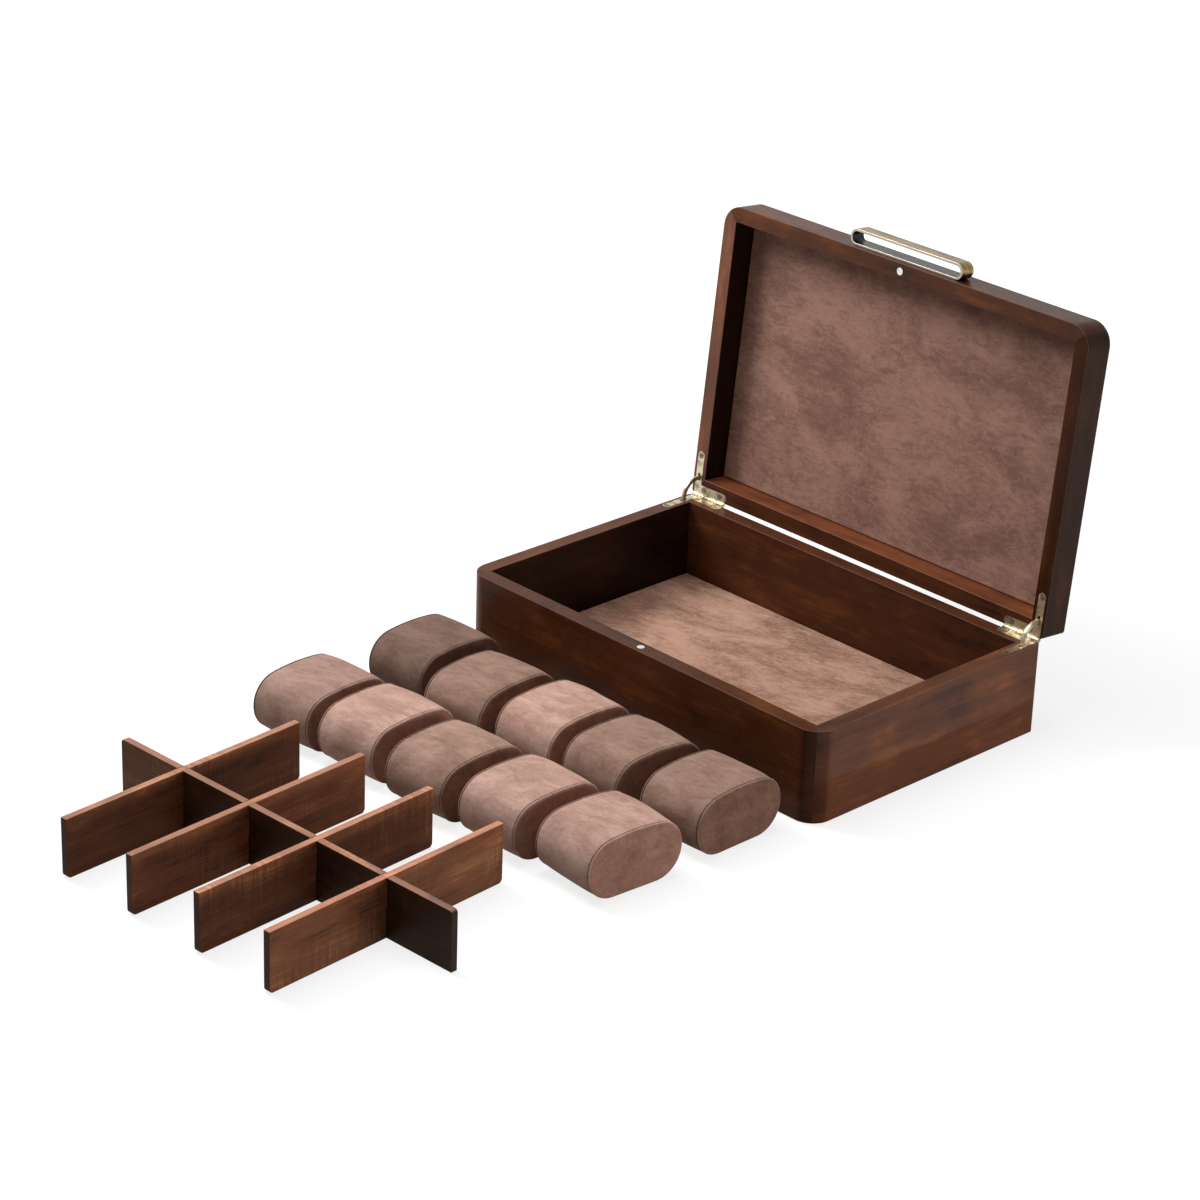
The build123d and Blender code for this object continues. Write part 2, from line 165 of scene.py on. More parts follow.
# %% [markdown]
# ## Stained walnut
#
# The boards are dark-stained walnut under a satin lacquer. Close by, such wood has five layers: slow
# blotches of stain, the broad bands of its figure, streaks that run along the board, hair-fine fibre, and
# short dark pores. Each is the same noise, stretched along the grain by a different amount. Every board
# needs its own grain direction and its own piece of the noise, so the recipe is a function, and each board
# gets a material of its own.
#
# Some of the boards' light and shade is painted into their colour. Some faces get painted shade and some
# painted light, some a pale painted haze for reflection, and the rounded edges beside the rims get a painted
# highlight. The right side has a painted reflection: two tones, one over the other, that meet in a slanted
# line, the upper one with a pale haze.

# %% The walnut recipe
pore_colour = (0.008, 0.004, 0.003, 1)
end_grain_colour = (0.017, 0.012, 0.011, 1)
# The painted highlight on the rounded edges beside the rims: how much tone it keeps and its pale haze
edge_highlight_share, edge_highlight_haze = 1.2, 0.035
# The painted reflection on the right side: its line's height, fall, bend and blur, and the pale haze above it
reflection_line_height = 26.4 * mm
reflection_line_fall = 0.024
reflection_line_bend = 0.1
reflection_line_blur = 0.3 * mm
upper_reflection_haze = 0.021


def with_painted_light(tree, colour, left, painted_haze):
    """A wood colour with painted light and shade: its depth scaled, and a pale haze painted over it for
    reflection.
    """
    deep = blended(tree, 1.0, colour, (left, left, left, 1), "MULTIPLY")
    return blended(tree, 1.0, deep, (painted_haze, painted_haze * 0.95, painted_haze * 0.9, 1), "ADD")


def above_reflection_line(tree, place):
    """1 above the painted reflection line between the two tones of the box's right side, and 0 under it."""
    _, y, z = add_node(tree, "SeparateXYZ", {0: place}).outputs
    slope = sums(tree, "SUBTRACT", sums(tree, "MULTIPLY", y, reflection_line_bend), reflection_line_fall)
    line = sums(tree, "ADD", sums(tree, "MULTIPLY", y, slope), reflection_line_height)
    return spread(tree, sums(tree, "SUBTRACT", z, line), -reflection_line_blur, reflection_line_blur)


def walnut(name, turn, number, colours, gloss, streakiness=1.0, curl=0.0, tones_and_painted_light=(), painted_reflection_line=False,
           rim_way=None):
    """Walnut with its grain along X before the turn. Colours are the dark, the middle and the light tone.
    Each entry of the face list is a direction, how closely a face must look that way, how much of the tone
    is left on it, which paints shade below one and light above one, save on the dividers' top edges, whose
    own colour is lighter, how much pale haze is painted on it for reflection and, if it covers only part of a
    board, the place along X where it starts. The rounded edges beside a rim that looks the rim's way get a
    painted highlight."""
    material, tree, shader = start_finish(name, Specular_IOR_Level=0.07)
    coords = add_node(tree, "TexCoord").outputs
    place = (0.37 * number, 0.11 * number, 0.23 * number)
    board = laid(tree, coords["Object"], 1, turn, place)
    stain = cloudy(tree, laid(tree, board, (0.05, 0.03, 0.03)), 3, 0.6, 0.4)
    figure = cloudy(tree, laid(tree, board, (0.11, 0.009, 0.009)), 3, 0.55, 0.35)
    streaks = cloudy(tree, laid(tree, board, (0.05, 0.0017, 0.0017)), 5, 0.65, 0.2)
    fibre = cloudy(tree, laid(tree, board, (0.008, 0.0004, 0.0004)), 2, 0.6)
    pores = cloudy(tree, laid(tree, board, (0.004, 0.0004, 0.0004)), 1, 0.5)
    pore_mask = spread(tree, pores, 0.66, 0.76)

    broad = sums(tree, "ADD", sums(tree, "MULTIPLY", stain, 0.65), sums(tree, "MULTIPLY", figure, 0.35))
    fine = sums(tree, "ADD", sums(tree, "MULTIPLY", streaks, 0.6), sums(tree, "MULTIPLY", fibre, 0.4))
    share = 0.3 * streakiness
    tone = sums(tree, "ADD", sums(tree, "MULTIPLY", broad, 1 - share), sums(tree, "MULTIPLY", fine, share))
    if curl:
        ripple = cloudy(tree, laid(tree, board, (0.0022, 0.03, 0.03)), 2, 0.5, 0.4)
        patch = spread(tree, cloudy(tree, laid(tree, board, 0.06), 1), 0.45, 0.7)
        swing = sums(tree, "SUBTRACT", ripple, 0.5)
        lift = sums(tree, "MULTIPLY", swing, sums(tree, "MULTIPLY", patch, curl))
        tone = sums(tree, "ADD", tone, lift)

    dark, middle, light = colours
    colour = blended(tree, spread(tree, tone, 0.36, 0.5), dark, middle)
    colour = blended(tree, spread(tree, tone, 0.5, 0.64), colour, light)
    colour = blended(tree, sums(tree, "MULTIPLY", pore_mask, 0.4), colour, pore_colour)
    # A painted reflection: a pale haze above a slanted line on the right side
    if painted_reflection_line:
        upper = with_painted_light(tree, colour, 1.0, upper_reflection_haze)
        colour = blended(tree, above_reflection_line(tree, coords["Object"]), colour, upper)
    # Painted shade, light and reflection haze on the faces that look each entry's way
    for direction, closely, left, painted_haze, *start in tones_and_painted_light:
        mask = facing_share(tree, coords["Normal"], direction, closely, (1 + closely) / 2)
        if start:
            across = add_node(tree, "SeparateXYZ", {0: coords["Object"]}).outputs[0]
            mask = sums(tree, "MULTIPLY", mask, spread(tree, across, start[0], start[0] + 2 * mm))
        colour = blended(tree, mask, colour, with_painted_light(tree, colour, left, painted_haze))
    # A painted highlight on the rounded edges beside a rim
    if rim_way:
        past_wall = facing_share(tree, coords["Normal"], rim_way, 0.1, 0.35)
        before_rim = facing_share(tree, coords["Normal"], rim_way, 0.99, 0.9)
        edge_highlight = sums(tree, "MULTIPLY", past_wall, before_rim)
        colour = blended(tree, edge_highlight, colour, with_painted_light(tree, colour, edge_highlight_share, edge_highlight_haze))

    along = Matrix.Identity(3)
    along.rotate(turn)
    grain = along @ Vector((1, 0, 0))
    ends = sums(tree, "MAXIMUM", facing_share(tree, coords["Normal"], grain, 0.75, 0.95),
                facing_share(tree, coords["Normal"], -grain, 0.75, 0.95))
    colour = blended(tree, sums(tree, "MULTIPLY", ends, 0.8), colour, end_grain_colour)
    tree.links.new(colour, shader.inputs["Base Color"])

    rough = spread(tree, fine, 0.3, 0.7, gloss - 0.05, gloss + 0.07)
    tree.links.new(rough, shader.inputs["Roughness"])
    relief = sums(tree, "SUBTRACT", sums(tree, "MULTIPLY", fibre, 0.5), pore_mask)
    tree.links.new(raised(tree, relief, 0.05 * mm, 0.6), shader.inputs["Normal"])
    return material


def dress(node, material):
    """Puts one finish on a whole solid."""
    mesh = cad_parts[node].data
    mesh.materials.clear()
    mesh.materials.append(material)


# %% [markdown]
# ## The ten boards of the box
#
# The front and back boards have their grain along X and the side boards along Y. The lid's boards have the
# same, turned with the lid. Euler angles taken from a matrix say both turns in one go. The table below says
# which faces of a board get painted shade and light and a pale painted haze for reflection: the way they
# look, how closely, the tone left on them and their haze.

# %% Finish the box's boards
box_tones = (srgb(74, 38, 22), srgb(110, 60, 33), srgb(148, 86, 46))
box_gloss = 0.3
along_x = Matrix.Identity(3)
along_y = Matrix.Rotation(math.radians(90), 3, "Z")
lid_turn = Matrix.Rotation(-open_angle, 3, "X")
up, inward = Vector((0, 0, 1)), Vector((1, 0, 0))
away_from_light = Vector((0, -1, 0))
lid_outward, lid_rim = lid_turn @ Vector((0, -1, 0)), lid_turn @ Vector((0, 0, -1))
front_corner, corner_close = Vector((0.707, -0.707, 0)), 0.78
# The rims' top faces: a little more of the tone and a little pale haze, as painted light
rim = (up, 0.6, 1.05, 0.004)

# Each board: its grain, how much of the tone it keeps, partly its own tone and partly painted shade, as on
# the lid's dark right side, and the faces with painted light, shade and haze
box_boards = {
    "base_front": (along_x, 0.51, [(up, 0.6, 0.88, 0.003), (front_corner, corner_close, 0.5, 0.0)]),
    "base_back": (along_x, 0.51, [rim, (away_from_light, 0.6, 1.0, 0.005)]),
    "base_left": (along_y, 0.6, [rim, (inward, 0.6, 0.2, 0.003)]),
    "base_right": (along_y, 0.8, [(up, 0.6, 0.72, 0.005), (front_corner, corner_close, 0.6, 0.0)]),
    "base_bottom_panel": (along_x, 1.0, []),
    "lid_front": (lid_turn @ along_x, 0.6, [(lid_outward, 0.6, 0.6, 0.0), (lid_rim, 0.6, 0.9, 0.014)]),
    "lid_back": (lid_turn @ along_x, 1.15, [(up, 0.6, 1.0, 0.006), (away_from_light, 0.6, 0.5, 0.004)]),
    "lid_left": (lid_turn @ along_y, 0.95, [(inward, 0.6, 0.1, 0.002), (lid_rim, 0.6, 1.0, 0.042)]),
    "lid_right": (lid_turn @ along_y, 0.3, [(inward, 0.6, 0.6, 0.0)]),
    "lid_top_panel": (lid_turn @ along_x, 1.0, []),
}
for number, (node, (direction, kept, tones_and_painted_light)) in enumerate(box_boards.items(), start=1):
    tones = [(*[value * kept for value in tone[:3]], 1) for tone in box_tones]
    dress(node, walnut(f"walnut_{node}", direction.to_euler(), number, tones, box_gloss, tones_and_painted_light=tones_and_painted_light,
                       painted_reflection_line=node == "base_right", rim_way=up if node.startswith("base") else lid_rim))
print("boards finished:", len(box_boards))

# %% [markdown]
# ## The dividers
#
# The five divider strips are the same wood, but lighter, drier to the touch and with a livelier figure,
# which shows as bands across the grain where the light catches it. From the first cross divider on, the
# front of the long divider lies in the shade of the cells.

# %% Finish the dividers
divider_tones = (srgb(62, 36, 24), srgb(104, 64, 43), srgb(146, 98, 66))
divider_gloss = 0.46
grid_turn = math.radians(2.5)
cross_skew = math.radians(1.2)
shaded_from = -89 * mm


def divider_finish(name, turn, number, kept, curl, tones_and_painted_light):
    """The dividers' walnut. Their top edges are bare and far lighter than their faces, and get a pale painted
    haze for reflection.
    """
    tones = [(*[value * kept for value in tone[:3]], 1) for tone in divider_tones]
    return walnut(name, turn.to_euler(), number, tones, divider_gloss, 1.3, curl, tones_and_painted_light)


along_long = Matrix.Rotation(grid_turn, 3, "Z")
along_cross = Matrix.Rotation(grid_turn + cross_skew + math.radians(90), 3, "Z")
# The long divider's top edge is lighter and has a pale painted haze, and its front gets painted shade from
# the first cross divider on
dress("long_divider", divider_finish("walnut_long_divider", along_long, 20, 1.0, 0.2,
                                     [(up, 0.6, 1.9, 0.08), (away_from_light, 0.6, 0.3, 0.0, shaded_from)]))

# How much of the tone each cross divider keeps on its faces, and how light its top edge is; the edge also
# gets a pale painted haze for reflection
for number, (kept, edge) in enumerate(((1.32, 1.6), (2.1, 1.25), (1.65, 1.8), (1.6, 2.3)), start=1):
    finish = divider_finish(f"walnut_cross_divider_{number}", along_cross, 20 + number, kept, 0.26,
                            [(up, 0.6, edge, 0.08)])
    dress(f"cross_divider_{number}", finish)

# %% [markdown]
# ## Metals
#
# A metal shows little but what it mirrors, so its colour is light and its roughness carries the look. The
# handle is antique brass: brushed bright where hands rub it, and nearly black inside the loop, where the
# dark bath stays.

# %% Metal finishes


def metal(name, colour, tarnish, gloss, size, brushed=(1, 1, 1)):
    """A plated metal with cloudy tarnish and fine brush lines."""
    material, tree, shader = start_finish(name, Metallic=1.0)
    coords = add_node(tree, "TexCoord").outputs
    clouds = cloudy(tree, laid(tree, coords["Object"], size), 4, 0.65)
    lines = cloudy(tree, laid(tree, coords["Object"], [0.0006 * share for share in brushed]), 3, 0.6)
    patchy = spread(tree, clouds, 0.42, 0.68)
    tree.links.new(blended(tree, patchy, colour, tarnish), shader.inputs["Base Color"])
    rough = sums(tree, "ADD", spread(tree, clouds, 0.3, 0.7, gloss - 0.06, gloss + 0.08),
                 sums(tree, "MULTIPLY", lines, 0.1))
    tree.links.new(rough, shader.inputs["Roughness"])
    tree.links.new(raised(tree, lines, 0.01 * mm, 0.5), shader.inputs["Normal"])
    return material


plated_brass = metal("plated_brass", srgb(206, 194, 168), srgb(132, 120, 98), 0.3, 0.006)
pin_steel = metal("pin_steel", srgb(205, 200, 190), srgb(120, 112, 100), 0.3, 0.003)
screw_brass = metal("screw_brass", srgb(150, 138, 115), srgb(70, 60, 48), 0.34, 0.002)
nickel = metal("magnet_nickel", srgb(226, 224, 220), srgb(190, 188, 184), 0.25, 0.003)


def antique_brass(loop_middle, loop_half, turn):
    """Brass for the handle's loop: bright outside and along its edges, dark inside."""
    material, tree, shader = start_finish("antique_brass", Metallic=1.0)
    coords = add_node(tree, "TexCoord").outputs
    band = laid(tree, coords["Object"], 1, turn, loop_middle)
    x, y, _ = add_node(tree, "SeparateXYZ", {0: band}).outputs
    nearest = add_node(tree, "Clamp", {"Value": x, "Min": -loop_half, "Max": loop_half}).outputs[0]
    outward = add_node(tree, "CombineXYZ", {0: sums(tree, "SUBTRACT", x, nearest), 1: y}).outputs[0]
    normal = add_node(tree, "Mapping", {"Vector": coords["Normal"]}, vector_type="TEXTURE")
    normal.inputs["Rotation"].default_value = turn
    facing = add_node(tree, "VectorMath", {0: outward, 1: normal.outputs[0]}, operation="DOT_PRODUCT")
    inside = spread(tree, facing.outputs["Value"], 1 * mm, -1 * mm)
    clouds = cloudy(tree, laid(tree, band, (0.02, 0.004, 0.004)), 4, 0.7)
    lines = cloudy(tree, laid(tree, band, (0.02, 0.0003, 0.0003)), 3, 0.7)
    gold = blended(tree, spread(tree, clouds, 0.35, 0.7), srgb(174, 151, 102), srgb(102, 85, 56))
    gold = blended(tree, spread(tree, lines, 0.3, 0.75, 0.0, 0.5), gold, srgb(72, 59, 40))
    colour = blended(tree, inside, gold, srgb(47, 46, 46))
    edge = add_node(tree, "SeparateXYZ", {0: normal.outputs[0]}).outputs[2]
    worn = spread(tree, sums(tree, "ABSOLUTE", edge, 0), 0.3, 0.9)
    colour = blended(tree, worn, colour, srgb(176, 163, 151))
    tree.links.new(colour, shader.inputs["Base Color"])
    rough = spread(tree, lines, 0.3, 0.7, 0.26, 0.4)
    tree.links.new(rough, shader.inputs["Roughness"])
    tree.links.new(raised(tree, lines, 0.02 * mm, 0.5), shader.inputs["Normal"])
    return material


handle_low, handle_high = shut_box("lid_handle")
handle_rise = handle_high.y - handle_low.y
loop_half = (handle_high.x - handle_low.x - handle_rise) / 2
handle_middle = open_lid @ ((handle_low + handle_high) / 2)
dress("lid_handle", antique_brass(handle_middle, loop_half, lid_turn.to_euler()))
print("handle's loop:", round((handle_high.x - handle_low.x) / mm, 1), "long")

# %% Put the metals on
for side in ("left", "right"):
    for piece in ("lid_leaf", "base_leaf", "stay"):
        dress(f"hinge_{side}_{piece}", plated_brass)
    for piece in ("lid_screws", "base_screws"):
        dress(f"hinge_{side}_{piece}", screw_brass)
    dress(f"hinge_{side}_pin", pin_steel)
dress("lid_handle_screws", pin_steel)
dress("base_magnet", nickel)
dress("lid_magnet", nickel)

# %% [markdown]
# ## Suede
#
# Suede is short standing nap. Where a hand brushed it, the nap lies another way and looks lighter or
# darker, so it has soft clouds a few centimetres wide, with small crumbs in them and a fine grain over all.
# The nap also catches light from the side, which the shader's sheen gives.

# %% The suede recipe


def suede(name, colour, light, number, cloud_size=0.035, contrast=1.0, kept=1.0, painted_end_shade=1.0):
    """Suede in two tones, with its clouds about as wide as cloud_size. A share of the tone is kept, and of
    that another share, darker and warmer, as painted shade on the faces that look along +X."""
    material, tree, shader = start_finish(name, Specular_IOR_Level=0.15, Roughness=0.95,
                                          Sheen_Weight=0.25, Sheen_Roughness=0.4)
    shader.inputs["Sheen Tint"].default_value = (*light[:3], 1)
    coords = add_node(tree, "TexCoord").outputs
    place = laid(tree, coords["Object"], 1, (0, 0, 0.2), (0.21 * number, 0.17 * number, 0.13 * number))
    clouds = cloudy(tree, laid(tree, place, (1.5 * cloud_size, cloud_size, cloud_size)), 4, 0.62, 0.6)
    strokes = cloudy(tree, laid(tree, place, (0.016, 0.0045, 0.0045)), 4, 0.65, 1.4)
    crumbs = cloudy(tree, laid(tree, place, 0.003), 3, 0.7, 0.6)
    nap = cloudy(tree, laid(tree, place, 0.0007), 2, 0.7)
    tone = sums(tree, "MULTIPLY", clouds, 0.42)
    for layer, share in ((strokes, 0.26), (crumbs, 0.14), (nap, 0.18)):
        tone = sums(tree, "ADD", tone, sums(tree, "MULTIPLY", layer, share))
    half = 0.11 / contrast
    shade = blended(tree, spread(tree, tone, 0.5 - half, 0.5 + half), colour, light)
    shade = blended(tree, 1.0, shade, (kept, kept, kept, 1), "MULTIPLY")
    # Painted shade, darker and warmer, on the faces that look along +X
    if painted_end_shade < 1:
        deeper = blended(tree, 1.0, shade, (painted_end_shade, painted_end_shade * 0.84, painted_end_shade * 0.75, 1), "MULTIPLY")
        shade = blended(tree, facing_share(tree, coords["Normal"], (1, 0, 0), 0.75, 0.95), shade, deeper)
    tree.links.new(shade, shader.inputs["Base Color"])
    relief = sums(tree, "ADD", sums(tree, "MULTIPLY", crumbs, 0.6), sums(tree, "MULTIPLY", nap, 0.4))
    tree.links.new(raised(tree, relief, 0.25 * mm, 0.5), shader.inputs["Normal"])
    return material


floor_suede = suede("suede_floor", srgb(134, 99, 82), srgb(190, 150, 130), 1, contrast=1.1)
# The lid's suede is a copy of the floor's with its lighter tone darkened, as painted shade
shaded_lid_suede = suede("suede_lid", srgb(134, 99, 86), srgb(178, 137, 121), 4, contrast=1.1)

# %% [markdown]
# ## The linings of the floor and the lid
#
# Each lining is a thin padded board wrapped in suede. Its edges roll over and its face is never quite flat.
# A grid of points does both: the height falls off near the edge along a quarter circle, and soft noise
# moves it by a few tenths of a millimetre. The underside and a strip around the edge close the shape.

# %% A wrapped board
broad_waves, small_waves = 34 * mm, 9 * mm
small_share = 0.4


def new_piece(name, places, faces, material):
    """A smooth object from points and faces."""
    mesh = bpy.data.meshes.new(name)
    mesh.from_pydata(places, [], faces)
    mesh.update()
    mesh.materials.append(material)
    mesh.polygons.foreach_set("use_smooth", [True] * len(mesh.polygons))
    piece = bpy.data.objects.new(name, mesh)
    bpy.context.scene.collection.objects.link(piece)
    return piece


def wrapped_board(name, low, high, face_up, roll, wave, seed, material, step=2.5 * mm):
    """A padded board in the box from low to high. Its face is on top, or underneath if face_up is False."""
    def stations(start, end):
        near = [roll * share for share in (0, 0.06, 0.2, 0.45, 0.75)]
        count = round((end - start - 2 * roll) / step)
        middle = np.linspace(start + roll, end - roll, count + 1)
        return [start + d for d in near] + list(middle) + [end - d for d in reversed(near)]

    def fallen(distance):
        to_flat = roll - min(distance, roll)
        return roll - math.sqrt(roll ** 2 - to_flat ** 2)

    xs, ys = stations(low.x, high.x), stations(low.y, high.y)
    places = []
    for side in (1, 0):
        for y in ys:
            for x in xs:
                from_edge = min(x - low.x, high.x - x, y - low.y, high.y - y)
                if side:
                    calm = min(1, from_edge / (3 * roll))
                    spot = Vector((x, y, seed))
                    soft = noise.noise(spot / broad_waves) + small_share * noise.noise(spot / small_waves)
                    sunk = fallen(from_edge) + wave * (1 - soft) / 2 * calm
                    z = high.z - sunk if face_up else low.z + sunk
                else:
                    z = low.z if face_up else high.z
                places.append((x, y, z))
    wide, deep = len(xs), len(ys)
    layer = wide * deep
    faces = []
    for row in range(deep - 1):
        for column in range(wide - 1):
            a = row * wide + column
            quad = (a, a + 1, a + wide + 1, a + wide)
            faces += [quad, tuple(layer + corner for corner in reversed(quad))]
    border = list(range(wide)) + [row * wide + wide - 1 for row in range(1, deep)]
    border += [(deep - 1) * wide + column for column in range(wide - 2, -1, -1)]
    border += [row * wide for row in range(deep - 2, 0, -1)]
    for first, second in zip(border, border[1:] + border[:1]):
        faces.append((second, first, layer + first, layer + second))
    if not face_up:
        faces = [tuple(reversed(face)) for face in faces]
    return new_piece(name, places, faces, material)


# %% Lay the two linings
floor_low, floor_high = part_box("base_floor_pad")
floor_lining = wrapped_board("floor_lining", floor_low, floor_high, True, 1.6 * mm, 0.5 * mm, 0.3,
                             floor_suede)
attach(floor_lining, "root")
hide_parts("base_floor_pad")

lid_lining = wrapped_board("lid_lining", lining_low, lining_high, False, 1.2 * mm, 0.4 * mm, 0.7,
                           shaded_lid_suede)
lid_lining.data.transform(open_lid)
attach(lid_lining, "lid")
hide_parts("lid_lining_pad")
print("lining points:", len(floor_lining.data.vertices), len(lid_lining.data.vertices))

# %% [markdown]
# ## The pillows' outline
#
# Cut across, a pillow is flat underneath, round at its sides and crowned on top. The outline is a chain of
# arcs: low arc, short upright flank, high arc, and a wide crown arc between the two high ones. `outline`
# walks along it in even steps, so that the columns of the mesh are as wide everywhere. Inset moves every
# point straight inwards.

# %% Walk around the outline
pillow_length = 53 * mm
pillow_width = 74 * mm
pillow_height = 41.4 * mm
low_radius = 19.5 * mm
high_radius = 19 * mm
crown_slope = math.radians(8)
columns = 96


def outline(inset, draw):
    """Points (y, z) around a pillow's section. Sides and top come in by draw, and all of it by inset."""
    half = pillow_width / 2 - draw
    top = pillow_height - draw
    crown_half = half - high_radius * (1 - math.sin(crown_slope))
    crown_radius = crown_half / math.sin(crown_slope)
    crown_end = top - crown_radius * (1 - math.cos(crown_slope))
    high_centre = crown_end - high_radius * math.cos(crown_slope)
    foot, flank = half - low_radius, high_centre - low_radius
    high_turn = math.pi / 2 - crown_slope
    runs = [foot, low_radius * math.pi / 2, flank, high_radius * high_turn, crown_radius * crown_slope]

    def at(distance):
        """Place and outward direction on the right half, at a distance from the middle of the foot."""
        for number, run in enumerate(runs):
            if distance <= run or number == len(runs) - 1:
                break
            distance -= run
        if number == 0:
            return (distance, 0), (0, -1)
        if number == 1:
            angle = distance / low_radius - math.pi / 2
            centre, radius = (foot, low_radius), low_radius
        elif number == 2:
            return (half, low_radius + distance), (1, 0)
        elif number == 3:
            angle = distance / high_radius
            centre, radius = (half - high_radius, high_centre), high_radius
        else:
            angle = math.pi / 2 - crown_slope + distance / crown_radius
            centre, radius = (0, top - crown_radius), crown_radius
        way = (math.cos(angle), math.sin(angle))
        return (centre[0] + radius * way[0], centre[1] + radius * way[1]), way

    total = sum(runs)
    points = []
    for column in range(columns):
        around = 2 * total * column / columns
        side = 1 if around <= total else -1
        (y, z), (way_y, way_z) = at(min(around, 2 * total - around))
        points.append((side * (y - inset * way_y), z - inset * way_z))
    return np.array(points)


around_tube = outline(0, 0)
print("outline, wide and high in mm:", np.ptp(around_tube, axis=0) / mm)

# %% [markdown]
# ## One stuffed pillow
#
# The cover is a tube with an end panel sewn in at each end. The mesh follows the sewing: rows of points run
# from the middle of one end panel, over its rounded edge, down into the seam and along the tube to the
# other seam. The rows of the seam and of the panel's edge are pinned for the cloth simulation, which blows
# the loose cloth between them outwards like the foam inside does. The loose cloth starts a little too far
# in, so that it ends about at its real size. The faces down in the seam get a dark finish of their own,
# because little light reaches there.

# %% Rows of a cover
seam_reach = 24.05 * mm
seam_depth = 0.7 * mm
seam_half = 0.28 * mm
panel_lip, tube_lip = 0.22 * mm, 0.2 * mm
end_draw = 0.9 * mm
panel_edge = 1.7 * mm
panel_sunk = 0.75 * mm
panel_dome = 0.5 * mm
panel_centre = 0.48
panel_rings = (0.06, 0.25, 0.45, 0.63, 0.78, 0.89)
edge_turns = (90, 62, 35, 10)
tube_stations = [station * mm for station in (22.7, 20.4, 17.4, 13.9, 10.2, 6.5, 2.2)]
lump_size = 16 * mm
lumpiness = 0.0175


def cover_rows(slack):
    """Rows from one end's middle to the other's: place along X, inset, draw, share of the section, pinned."""
    half = []
    flat = pillow_length / 2 - panel_sunk
    for share in panel_rings:
        dome = (1 - share ** 2) * panel_dome
        half.append((flat + dome - slack, panel_edge + slack, end_draw, share, 0))
    for degrees in edge_turns:
        turn = math.radians(degrees)
        along = flat - panel_edge * (1 - math.sin(turn))
        half.append((along, panel_edge * (1 - math.cos(turn)), end_draw, 1, 1))
    half.append((seam_reach + seam_half, panel_lip, end_draw, 1, 1))
    half.append((seam_reach, seam_depth, end_draw, 1, 1))
    half.append((seam_reach - seam_half, tube_lip, end_draw, 1, 1))
    for along in tube_stations:
        half.append((along, slack, end_draw * (along / seam_reach) ** 3, 1, 0))
    return half + [(-x, *rest) for x, *rest in reversed(half)]


def pillow_mesh(name, seed, slack, material, seam_material):
    """A cover as a closed mesh around the X axis, standing on z = 0, and the numbers of its pinned points."""
    places, pinned = [], []
    rows = cover_rows(slack)
    centre = np.array((0, pillow_height * panel_centre))
    for x, inset, draw, share, held in rows:
        ring = outline(inset, draw)
        ring = centre + (ring - centre) * share
        for y, z in ring:
            stretch = noise.noise(Vector((x + seed, y, z)) / lump_size) * lumpiness
            if held:
                stretch = 0
                pinned.append(len(places))
            places.append((x, y * (1 + stretch), max(0, z * (1 + stretch * 0.5))))
    tip = pillow_length / 2 - panel_sunk + panel_dome - slack
    places += [(tip, *centre), (-tip, *centre)]
    faces = []
    for row in range(len(rows) - 1):
        for column in range(columns):
            beside = (column + 1) % columns
            faces.append((row * columns + column, (row + 1) * columns + column,
                          (row + 1) * columns + beside, row * columns + beside))
    last = (len(rows) - 1) * columns
    for column in range(columns):
        beside = (column + 1) % columns
        faces.append((len(places) - 2, column, beside))
        faces.append((len(places) - 1, last + beside, last + column))
    cover = new_piece(name, places, faces, material)
    cover.data.materials.append(seam_material)
    for row, (upper, lower) in enumerate(zip(rows, rows[1:])):
        if seam_depth in (upper[1], lower[1]):
            for column in range(columns):
                cover.data.polygons[row * columns + column].material_index = 1
    return cover, pinned


# %% [markdown]
# ## Where each pillow stands
#
# The ten solids already stand in their places. A solid's box gives its middle, and the way its two end
# panels face gives its turn. Pillows 3, 6, 7, 9 and 10 are the rosier ones, and the two at the left are
# deeper in tone.

# %% Find each pillow's place


def stand_of(node):
    """The matrix that takes a pillow at the origin to its solid's place on the table."""
    low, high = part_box(node)
    facing = Vector((0, 0, 0))
    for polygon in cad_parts[node].data.polygons:
        if abs(polygon.normal.x) > 0.99:
            facing += polygon.normal * polygon.area * math.copysign(1, polygon.normal.x)
    turn = math.atan2(facing.y, facing.x)
    middle = (low + high) / 2
    return Matrix.Translation((middle.x, middle.y, 0)) @ Matrix.Rotation(turn, 4, "Z")


seam_shadow, _, seam_shader = start_finish("seam_shadow", Roughness=1.0, Specular_IOR_Level=0.0)
seam_shader.inputs["Base Color"].default_value = srgb(40, 26, 22)
rosy = (3, 6, 7, 9, 10)
tone_kept = (0.62, 0.97, 1.08, 1.0, 1.0, 0.75, 1.04, 1.12, 1.02, 1.02)
slack = 0.3 * mm
pillows = {}
for number, kept in enumerate(tone_kept, start=1):
    if number in rosy:
        slot_name, tones = "suede_rose", (srgb(160, 124, 110), srgb(207, 170, 155))
    else:
        slot_name, tones = "suede_brown", (srgb(128, 98, 84), srgb(171, 139, 124))
    finish = suede(f"{slot_name}_{number}", *tones, 10 + number, 0.02, 0.72, kept, 0.72)
    cover, pinned = pillow_mesh(f"pillow_{number}_suede", number * 0.31, slack, finish, seam_shadow)
    pillows[number] = (cover, pinned, slot_name)
print("pillow points:", len(pillows[1][0].data.vertices))

# %% [markdown]
# ## Let the foam push
#
# Blender's cloth takes the cover as it is, pins the seams and blows it up with a steady pressure. Gravity
# is off: the foam carries the cover. No point may move further than a cap, and none goes below the table.

# %% Swell the covers
sim_frames = 20
furthest = 1.6 * mm
suede_cloth = {
    "quality": 5,
    "mass": 0.3,
    "tension_stiffness": 8,
    "compression_stiffness": 8,
    "shear_stiffness": 4,
    "bending_stiffness": 3,
    "vertex_group_mass": "seams",
    "use_pressure": True,
    "uniform_pressure_force": 12,
}


